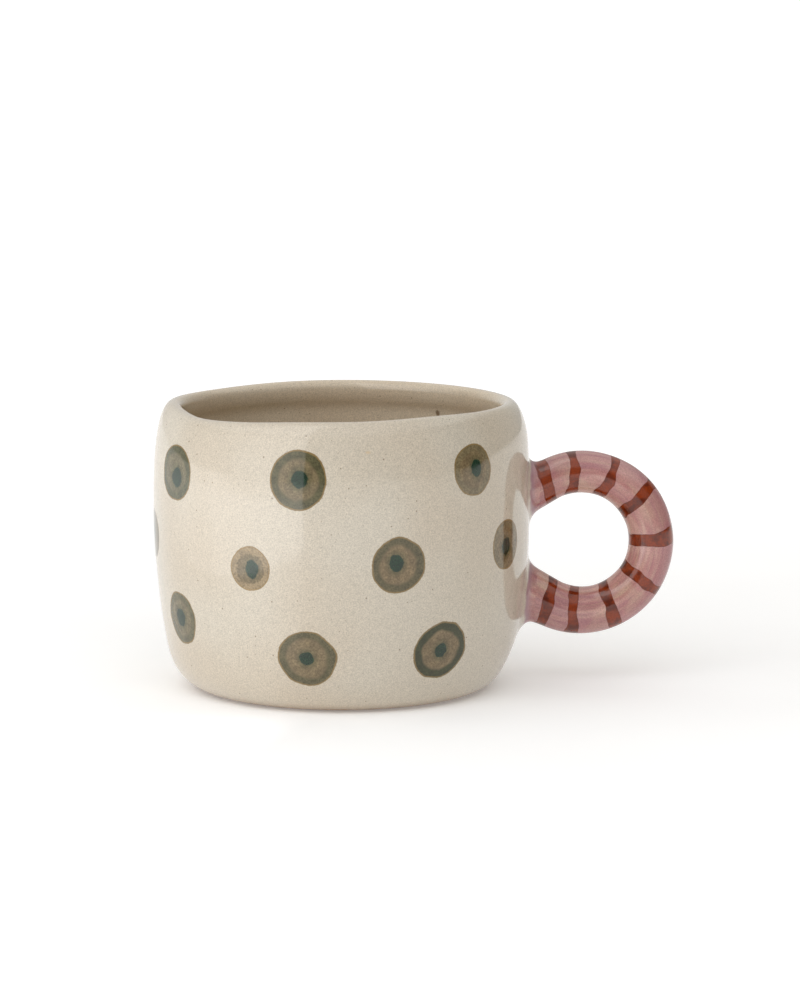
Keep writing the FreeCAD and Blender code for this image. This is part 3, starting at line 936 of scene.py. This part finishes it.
def striped(paint, place, colour):
    """Brushed red-brown stripes over the pink, darker along their edges and where the colour pooled."""
    _, off, half, which = paint.stored("stripe")
    shift = paint.node("CombineXYZ", paint.times(which, NEXT_STRIPE), 0.0, 0.0)
    shifted = paint.vector("ADD", place, shift)
    lean = paint.wander(shifted, size=6, detail=1, amount=0.35)
    width = paint.total(half, paint.wander(shifted, size=4.5, detail=1, amount=0.35))
    away = paint.node("Math", paint.total(off, lean), operation="ABSOLUTE")
    beyond = paint.node("Math", away, width, operation="SUBTRACT")
    beyond = paint.total(beyond, paint.wander(place, size=0.8, detail=2, amount=0.05))
    painted = paint.ease(beyond, *STRIPE_EDGE)
    pool = paint.ease(paint.grain(place, size=3.2, detail=2), *POOL_PART)
    edge = paint.ease(beyond, *STRIPE_LINE)
    tone = paint.blend(paint.node("Math", pool, edge, operation="MAXIMUM"), STRIPE_RED, STRIPE_DARK)
    tone = paint.shade(tone, paint.vary(place, size=0.4, detail=2, low=0.82, high=1.18))
    return paint.blend(painted, colour, tone), painted


def pink_glaze(name, to_cream):
    """Handle and seams: streaked pink with stripes, turning mauve and then cream where it meets the cup."""
    paint = Paint(name)
    place = paint.place()
    roll = paint.stored("roll")[0]
    gap = paint.node("Attribute", attribute_name="gap", output="Fac")
    gap = paint.total(gap, paint.wander(place, size=3.2, detail=3, amount=0.5))
    colour, painted = striped(paint, place, streaked_pink(paint, roll, place))
    colour = paint.blend(paint.ease(gap, *MAUVE_END), colour, LAVENDER)
    if to_cream:
        colour = paint.blend(paint.ease(gap, *CREAM_END), colour, cream_ground(paint, place))
    ripple = paint.grain(place, size=4.5, detail=2)
    peel = paint.grain(place, size=1.2, detail=2)
    paint.bumps((ripple, 0.07), (peel, 0.008), (painted, 0.03))
    return paint.finish(colour, paint.vary(place, size=5, detail=3, low=0.06, high=0.12, spread=MOST))


def make_mug():
    """The four pieces of the mug."""
    make_cup(cream_glaze())
    make_handle(pink_glaze("pink_glaze", False))
    slip = pink_glaze("slip_glaze", True)
    make_seam("upper_slip", -1, UPPER_LEGS, "upper_slip_joint", slip)
    make_seam("lower_slip", 1, LOWER_LEGS, "lower_slip_joint", slip)


# The table, in metres, its roughness, and its glow, which is painted light: near the mug and far away, more
# to the left in front of it as a painted pool of the softbox's light, and less far in front. The ranges are
# in millimetres.
TABLE_HALF = 6.0
TABLE_DROP = 0.00002
TABLE_ROUGHNESS = 0.8
TABLE_GLOW = (0.19, 0.38)
GLOW_RANGE = (60, 500)
LEFT_GLOW = 0.36
LEFT_SLANT = 0.39
LEFT_RANGE = (-14, 4, 0.0, LEFT_GLOW)
FRONT_RANGE = (-75, -35, 1.0, 0.0)
FAR_FRONT = (-650, -270, 0.4, 1.0)

# The room: its light from front (0) to back (1), the light of its ceiling and where the ceiling begins, how
# much of the light is left on the right, and its tint. The camera sees it white.
ROOM_LIGHT = (
    (0.0, 0.24),
    (0.05, 0.24),
    (0.10, 0.60),
    (0.26, 0.60),
    (0.36, 0.14),
    (0.66, 0.14),
    (0.80, 0.7),
)
CEILING_LIGHT = 0.90
CEILING_RISE = (0.52, 0.68)
RIGHT_SHARE = 0.62
RIGHT_RANGE = (0.0, 0.5)
ROOM_TINT = (1.0, 0.985, 0.955, 1)
SEEN_WHITE = 1.2

# Lamps: azimuth, elevation, distance, width and height in metres, radiance. The softbox stands on the table
# and shows only in the glaze; the fills only light the clay.
SOFTBOX = (-160, 0, 0.18, (0.43, 2.00), 1.2)
LEFT_FILL = (-156, 15, 0.70, (0.9, 0.7), 1.04)
FRONT_FILL = (-98, 52, 0.80, (0.7, 0.4), 1.16)
FILL_TINT = (0.975, 1.0, 1.06)
SOFT_SIDE = (0.0, 0.75)

# The camera: sensor width and lens in millimetres, shift, how far it looks down in degrees, how far away it
# is in metres and the height it aims at.
SENSOR = 36
LENS = 139.6
SHIFT = (0.059, 0.0416)
LOOKING_DOWN = 9.35
AWAY = 1.0
AIM_HEIGHT = 37 * MM


def table_glow(paint, place):
    """How much the table glows from place to place: painted light, with a painted pool of light on the left.
    """
    x, y, _ = paint.split(place)
    # Painted light: a patch of glow on the left with a straight edge, standing in for the softbox's light on
    # the table.
    aside = paint.node("Math", paint.times(y, LEFT_SLANT), x, operation="SUBTRACT")
    left = paint.times(paint.ease(aside, *LEFT_RANGE), paint.ease(y, *FRONT_RANGE))
    around = paint.ease(paint.length(place), *GLOW_RANGE, *TABLE_GLOW)
    return paint.times(paint.total(around, left), paint.ease(y, *FAR_FRONT))


def make_floor():
    """A wide white table under the mug, glowing a little where the lamps leave it grey."""
    half, rise = TABLE_HALF, -TABLE_DROP
    corners = [(-half, -half, rise), (half, -half, rise), (half, half, rise), (-half, half, rise)]
    mesh = bpy.data.meshes.new("table")
    mesh.from_pydata(corners, [], [(0, 1, 2, 3)])
    table = bpy.data.objects.new("table", mesh)
    bpy.context.scene.collection.objects.link(table)
    paint = Paint("white_table")
    place = paint.place()
    tone = paint.vary(place, size=60, detail=3, low=0.92, high=0.94, spread=MOST)
    mesh.materials.append(paint.finish(paint.node("CombineXYZ", tone, tone, tone), TABLE_ROUGHNESS))
    paint.give(paint.shader.inputs["Emission Strength"], table_glow(paint, place))
    paint.shader.inputs["Emission Color"].default_value = (1, 1, 1, 1)


def make_world():
    """White for the camera. For light and reflections a room that is bright above, at the front corners and
    behind the mug, darker towards the camera and at the sides, and dimmer on the right."""
    world = bpy.data.worlds.new("studio")
    world.use_nodes = True
    room = Nodes(world.node_tree)
    right, back, up = room.split(room.node("TexCoord", output="Generated"))
    around = room.tree.nodes.new("ShaderNodeValToRGB")
    ramp = around.color_ramp
    ramp.interpolation = "LINEAR"
    for stop, (at, light) in enumerate(ROOM_LIGHT):
        element = ramp.elements[stop] if stop < 2 else ramp.elements.new(at)
        element.position = at
        element.color = (light, light, light, 1)
    room.give(around.inputs[0], room.straight(back, -1.0, 1.0))
    walls = room.times(around.outputs[0], room.straight(right, *RIGHT_RANGE, 1.0, RIGHT_SHARE))
    lit = room.mix(room.ease(up, *CEILING_RISE), walls, CEILING_LIGHT)
    shown = room.mix(room.node("LightPath", output="Is Camera Ray"), lit, SEEN_WHITE)
    sky = room.tree.nodes["Background"]
    sky.inputs["Color"].default_value = ROOM_TINT
    room.give(sky.inputs["Strength"], shown)
    bpy.context.scene.world = world


def toward(azimuth, elevation, distance):
    """A point at an azimuth and an elevation in degrees, and a distance in metres."""
    turn, rise = math.radians(azimuth), math.radians(elevation)
    level = math.cos(rise)
    return Vector((math.cos(turn) * level, math.sin(turn) * level, math.sin(rise))) * distance


def soften(light):
    """Lets a lamp fade out towards the side away from the camera, as a softbox does."""
    light.use_nodes = True
    lamp = Nodes(light.node_tree)
    across = lamp.split(lamp.node("NewGeometry", output="Parametric"))[0]
    lamp.give(lamp.tree.nodes["Emission"].inputs["Strength"], lamp.ease(across, *SOFT_SIDE))


def make_lamp(name, azimuth, elevation, distance, size, radiance, reflected):
    """A rectangular lamp facing the mug that either shows in the glaze or lights the clay."""
    wide, tall = size
    light = bpy.data.lights.new(name, "AREA")
    light.shape = "RECTANGLE"
    light.size = wide
    light.size_y = tall
    light.energy = radiance * wide * tall * math.pi
    if reflected:
        soften(light)
    else:
        light.color = FILL_TINT
    lamp = bpy.data.objects.new(name, light)
    middle = Vector((0, 0, tall / 2 if reflected else RING_Z * MM))
    facing = -toward(azimuth, elevation, 1)
    lamp.location = middle - facing * distance
    lamp.rotation_euler = facing.to_track_quat("-Z", "Y").to_euler()
    lamp.visible_camera = False
    lamp.visible_diffuse = not reflected
    lamp.visible_glossy = reflected
    bpy.context.scene.collection.objects.link(lamp)


def make_lights():
    """A softbox close by on the left, a fill behind it and a fill above the camera."""
    make_lamp("left_softbox", *SOFTBOX, reflected=True)
    make_lamp("left_fill", *LEFT_FILL, reflected=False)
    make_lamp("front_fill", *FRONT_FILL, reflected=False)


def make_camera():
    """Straight at the mug from a metre away, looking down a little."""
    camera = bpy.data.cameras.new("camera")
    camera.sensor_width = SENSOR
    camera.lens = LENS
    camera.shift_x, camera.shift_y = SHIFT
    eye = bpy.data.objects.new("camera", camera)
    target = Vector((0, 0, AIM_HEIGHT))
    eye.location = target + toward(-90, LOOKING_DOWN, AWAY)
    eye.rotation_euler = (target - eye.location).to_track_quat("-Z", "Y").to_euler()
    bpy.context.scene.collection.objects.link(eye)
    bpy.context.scene.camera = eye
    bpy.context.scene.view_settings.view_transform = "Standard"


make_mug()
make_floor()
make_world()
make_lights()
make_camera()
